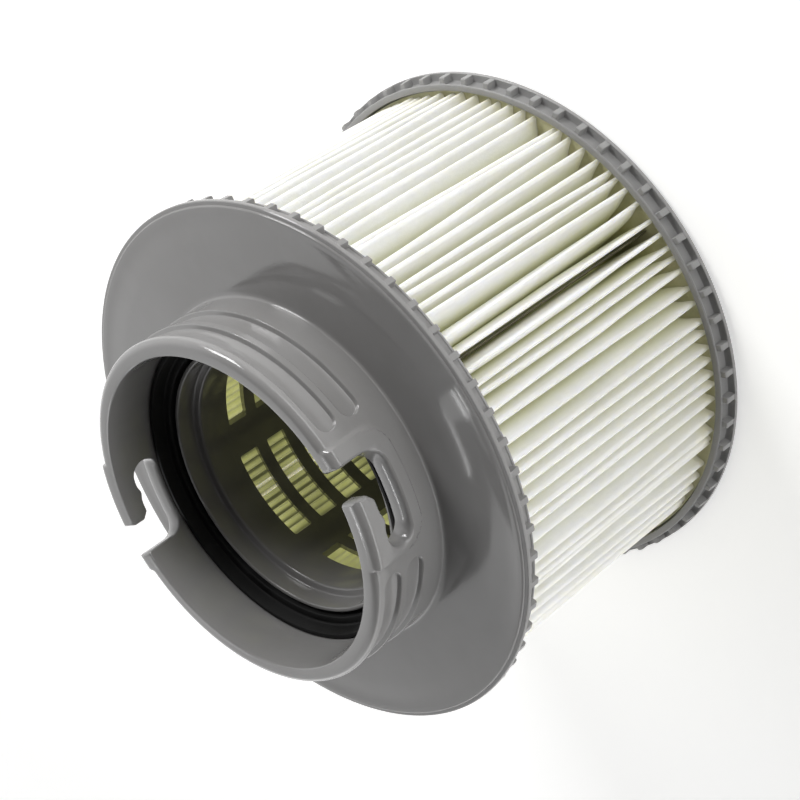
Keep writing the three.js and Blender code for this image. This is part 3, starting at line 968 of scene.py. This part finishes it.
# ---------------------------------------------------------------- pieces
paper = filter_paper()
# The seam strip's near-black is partly the adhesive's colour and partly painted shade, for the dark gap at
# the seam.
seam_adhesive = cured_adhesive("seam_adhesive", (0.10, 0.095, 0.05, 1), (0.06, 0.055, 0.03, 1))
bed_adhesive = cured_adhesive("bed_adhesive", (0.60, 0.58, 0.40, 1), (0.46, 0.45, 0.28, 1))
finish_piece(closed_end_cap(), "closed_cap", "closed_end_cap",
             moulded_plastic("closed_cap_plastic", tone=0.28, warm=0.012, rough=0.34))
finish_piece(neck_end_cap(), "neck_cap", "neck_end_cap",
             moulded_plastic("neck_cap_plastic", tone=0.225, warm=0.02, rough=0.1),
             sharp=28)
finish_piece(perforated_core(), "core", "perforated_core",
             moulded_plastic("core_plastic", tone=0.19, warm=0.03, rough=0.16))
finish_piece(pleated_media(), "paper_sleeve", "pleated_media", paper, sharp=60)
finish_piece(media_seam_strip(), "paper_seam", "media_seam_strip", seam_adhesive)
finish_piece(adhesive_bed(SEED + 2), "closed_end_bed", "closed_end_adhesive", bed_adhesive)
finish_piece(neck_end_adhesive(), "neck_end_bed", "neck_end_adhesive", bed_adhesive)
finish_piece(neck_gasket(), "gasket", "neck_gasket", seal_rubber())


# ---------------------------------------------------------------- floor, light and camera
def pale_floor():
    corners = [(x * FLOOR_HALF, y * FLOOR_HALF, 0) for x, y in ((-1, -1), (1, -1), (1, 1), (-1, 1))]
    mesh = bpy.data.meshes.new("floor")
    mesh.from_pydata(corners, [], [(0, 1, 2, 3)])
    floor = bpy.data.objects.new("floor", mesh)
    bpy.context.scene.collection.objects.link(floor)
    n = Nodes("floor_paint")
    cloud = n.span(n.noise(3, 3), 0.3, 0.7, 0.0, 1.0)
    paint = n.mix(cloud, (0.93, 0.93, 0.925, 1), (0.95, 0.95, 0.945, 1))
    from_axis, _ = n.axis_distance()
    n.set(Base_Color=paint, Roughness=0.9, Alpha=n.span(from_axis, *FLOOR_FADE, 1.0, 0.0))
    n.set(Emission_Color=paint, Emission_Strength=FLOOR_GLOW)
    mesh.materials.append(n.material)


def softbox(name, place, size, power, towards):
    data = bpy.data.lights.new(name, "AREA")
    data.shape = "RECTANGLE"
    data.size, data.size_y = size
    data.energy = power
    lamp = bpy.data.objects.new(name, data)
    bpy.context.scene.collection.objects.link(lamp)
    lamp.location = place
    lamp.rotation_euler = (Vector(towards) - Vector(place)).to_track_quat("-Z", "Y").to_euler()


def lights():
    """A studio that is bright low down and on the far side and dim elsewhere, and two lamps."""
    world = bpy.data.worlds.new("studio")
    world.use_nodes = True
    tree = world.node_tree
    background = tree.nodes["Background"]
    split = tree.nodes.new("ShaderNodeSeparateXYZ")
    tree.links.new(tree.nodes.new("ShaderNodeTexCoord").outputs["Generated"], split.inputs[0])

    def span(socket, low, high, to_low, to_high):
        node = tree.nodes.new("ShaderNodeMapRange")
        node.interpolation_type = "SMOOTHSTEP"
        tree.links.new(socket, node.inputs["Value"])
        values = {"From Min": low, "From Max": high, "To Min": to_low, "To Max": to_high}
        for key, value in values.items():
            if isinstance(value, bpy.types.NodeSocket):
                tree.links.new(value, node.inputs[key])
            else:
                node.inputs[key].default_value = value
        return node.outputs["Result"]

    high = span(split.outputs["Y"], *NEAR_TO_FAR, NEAR_LIGHT, FAR_LIGHT)
    upper = span(split.outputs["Z"], *HIGH_TO_CEILING, high, CEILING_LIGHT)
    sides = span(split.outputs["X"], *LEFT_TO_RIGHT, LOW_LIGHT_LEFT, LOW_LIGHT_RIGHT)
    low = span(split.outputs["Y"], *FRONT_TO_SIDES, LOW_LIGHT_FRONT, sides)
    whole = span(split.outputs["Z"], *LOW_TO_HIGH, low, upper)
    tree.links.new(whole, background.inputs["Strength"])
    background.inputs["Color"].default_value = (1.0, 1.0, 1.0, 1)
    bpy.context.scene.world = world
    softbox("key", KEY_PLACE, KEY_SIZE, KEY_POWER, KEY_AIM)
    softbox("back", BACK_PLACE, BACK_SIZE, BACK_POWER, BACK_AIM)


def camera():
    """Looks at the neck from the seam's side, rolled so that the neck points to the lower left."""
    azimuth, elevation = math.radians(-79.0), math.radians(37.4)
    roll = math.radians(-124.5)
    distance = 0.399
    target = Vector((0, 0, 0.036))
    level = Vector((-math.sin(azimuth), math.cos(azimuth), 0))
    outwards = Vector((math.cos(azimuth), math.sin(azimuth), 0))
    back = math.cos(elevation) * outwards + Vector((0, 0, math.sin(elevation)))
    upright = back.cross(level)
    up = math.cos(roll) * upright - math.sin(roll) * level
    right = up.cross(back)
    data = bpy.data.cameras.new("camera")
    data.sensor_width = 36
    data.lens = 94
    eye = bpy.data.objects.new("camera", data)
    bpy.context.scene.collection.objects.link(eye)
    turn = Matrix((right, up, back)).transposed().to_4x4()
    eye.matrix_world = Matrix.Translation(target + back * distance) @ turn
    bpy.context.scene.camera = eye


pale_floor()
lights()
camera()
bpy.context.scene.view_settings.view_transform = "Standard"
